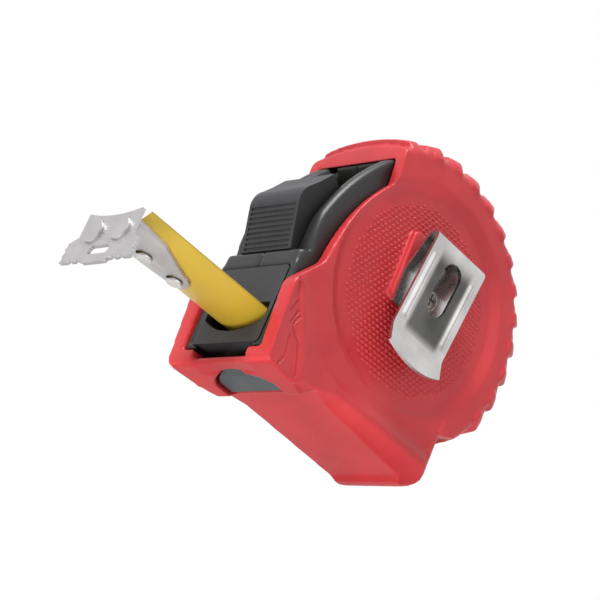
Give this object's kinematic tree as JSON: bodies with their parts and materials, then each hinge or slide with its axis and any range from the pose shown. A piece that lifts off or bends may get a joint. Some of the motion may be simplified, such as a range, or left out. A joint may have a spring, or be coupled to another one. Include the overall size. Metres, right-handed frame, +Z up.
{
  "type": "tape measure",
  "caption": "Pocket tape measure with a red rubber jacket, black thumb lock, finger brake, cupped blade with a magnetic end hook, and a belt clip.",
  "frame": {"origin": "on the resting plane, straight under the reel's axis and in the middle of the case's width", "axes": "+X the way the blade runs out, +Y the belt clip's side, +Z up from the base"},
  "size_m": [0.1146, 0.0406, 0.0772],
  "materials": {
    "red_rubber": "satin moulded rubber",
    "black_plastic": "fine spark-eroded satin",
    "grey_plastic": "fine satin",
    "yellow_blade": "satin coated steel",
    "zinc_plate": "dull zinc plated steel",
    "magnet": "nickel plated",
    "bright_rivet": "bright nickel",
    "clip_steel": "brushed, bright plated",
    "zinc_screw": "plated",
    "spring_steel": "blued spring strip",
    "reel_plastic": "natural moulded plastic"
  },
  "bodies": {
    "housing": {"jacket": "red_rubber", "case_left": "black_plastic", "case_right": "black_plastic", "case_screws": "zinc_screw", "mouth_guide": "black_plastic", "axle_post": "zinc_screw", "blade_lead": "yellow_blade", "brake_pin": "zinc_screw", "brake_spring": "spring_steel", "belt_clip": "clip_steel", "clip_screw": "zinc_screw"},
    "blade": {"blade": "yellow_blade", "hook_rivets": "bright_rivet"},
    "hook": {"end_hook": "zinc_plate", "hook_magnets": "magnet"},
    "reel": {"reel_drum": "reel_plastic", "reel_flange": "reel_plastic", "power_spring": "spring_steel", "blade_coil": "yellow_blade"},
    "lock": {"lock_slider": "black_plastic", "lock_shoe": "black_plastic"},
    "brake": {"brake_button": "grey_plastic"}
  },
  "joints": [
    {"name": "blade_pull", "type": "slide", "parent": "housing", "child": "blade", "axis": [1, 0, 0], "range_m": [-0.0365, 0.0035]},
    {"name": "hook_float", "type": "slide", "parent": "blade", "child": "hook", "axis": [1, 0, 0], "range_m": [-0.001, 0]},
    {"name": "reel_spin", "type": "hinge", "parent": "housing", "child": "reel", "pos_m": [0, 0, 0.038], "axis": [0, -1, 0], "range_deg": [-100, 12]},
    {"name": "lock_slide", "type": "hinge", "parent": "housing", "child": "lock", "pos_m": [-0.0229, 0, 0.0262], "axis": [0, -1, 0], "range_deg": [0, 7.5]},
    {"name": "finger_brake", "type": "hinge", "parent": "housing", "child": "brake", "pos_m": [0.0212, 0, 0.005], "axis": [0, -1, 0], "range_deg": [0, 9], "stiffness_Nm_per_rad": 0.02, "springref_deg": -8.59}
  ],
  "couplings": [
    {"joint": "reel_spin", "follows": "blade_pull", "rad_per_m": 45.662}
  ]
}
